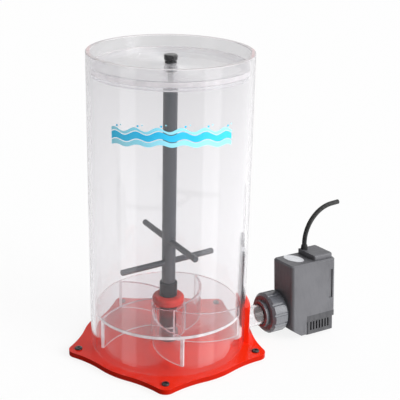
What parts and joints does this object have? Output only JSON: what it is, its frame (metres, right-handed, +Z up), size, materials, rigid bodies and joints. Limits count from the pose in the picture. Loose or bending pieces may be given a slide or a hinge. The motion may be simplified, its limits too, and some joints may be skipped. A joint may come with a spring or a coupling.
{
  "type": "aquarium media reactor",
  "caption": "Clear upright tube on a red lobed base with a stirring shaft, paddle wheel, lift-off lid and a side pump on a union.",
  "frame": {"origin": "on the rotor axis, at the underside of the pivot pin's flat head, which is level with the rubber feet", "axes": "+Z up along the tube; +X to the side with the pump, which stands ahead of the +X axis towards +Y"},
  "size_m": [0.3205, 0.2184, 0.349],
  "materials": {
    "red_acrylic": "cast acrylic, polished faces and edges",
    "clear_acrylic": "cast acrylic, clear and polished",
    "grey_pvc": "satin extruded PVC",
    "pump_plastic": "fine moulded texture",
    "black_plastic": "moulded, slight gloss",
    "black_rubber": "moulded rubber",
    "acetal": "turned white acetal",
    "ceramic": null,
    "magnet": "ferrite magnet under a plastic skin",
    "lamination": "stacked steel laminations",
    "copper_coil": "enamelled copper winding",
    "resin": "cast epoxy",
    "label_white": "plain vinyl sticker"
  },
  "bodies": {
    "vessel": {"base_plate": "red_acrylic", "rubber_feet": "black_rubber", "base_screws": "black_plastic", "body_tube": "clear_acrylic", "lid_ledge": "clear_acrylic", "port_saddle": "red_acrylic", "inlet_pipe": "clear_acrylic", "pivot_boss": "grey_pvc", "slip_washer": "acetal", "pivot_pin": "ceramic", "union_tail": "black_plastic", "union_gasket": "black_rubber", "union_body": "black_plastic", "pump_housing": "pump_plastic", "pump_cap": "pump_plastic", "intake_cover": "black_plastic", "volute_plate": "black_plastic", "axle_bush": "black_rubber", "impeller_axle": "ceramic", "stator_core": "lamination", "stator_coil": "copper_coil", "potting_resin": "resin", "cable_gland": "black_rubber", "power_cable": "black_rubber", "top_label": "label_white"},
    "rotor": {"shaft_coupling": "grey_pvc", "pivot_bush": "acetal", "stir_shaft": "grey_pvc", "shaft_top_plug": "grey_pvc", "upper_stir_bar": "grey_pvc", "lower_stir_bar": "grey_pvc", "wheel_disc": "clear_acrylic", "wheel_hub": "clear_acrylic", "wheel_vanes": "clear_acrylic", "hub_ring": "red_acrylic"},
    "lid_assembly": {"lid": "clear_acrylic", "lid_bush": "clear_acrylic", "lid_knob": "black_plastic"},
    "nut": {"union_nut": "black_plastic"},
    "pump_rotor": {"impeller": "acetal", "rotor_magnet": "magnet"}
  },
  "joints": [
    {"name": "rotor_spin", "type": "hinge", "parent": "vessel", "child": "rotor", "pos_m": [0, 0, 0.1], "axis": [0, 0, 1], "continuous": true},
    {"name": "lid_lift", "type": "slide", "parent": "vessel", "child": "lid_assembly", "axis": [0, 0, 1], "range_m": [0, 0.08]},
    {"name": "nut_turn", "type": "hinge", "parent": "vessel", "child": "nut", "pos_m": [0.12238, 0.02203, 0.03], "axis": [-0.8829, -0.4695, 0], "range_deg": [0, 360]},
    {"name": "impeller_spin", "type": "hinge", "parent": "vessel", "child": "pump_rotor", "pos_m": [0.17172, 0.03916, 0.04079], "axis": [-0.0434, 0.0816, 0.9957], "continuous": true}
  ]
}
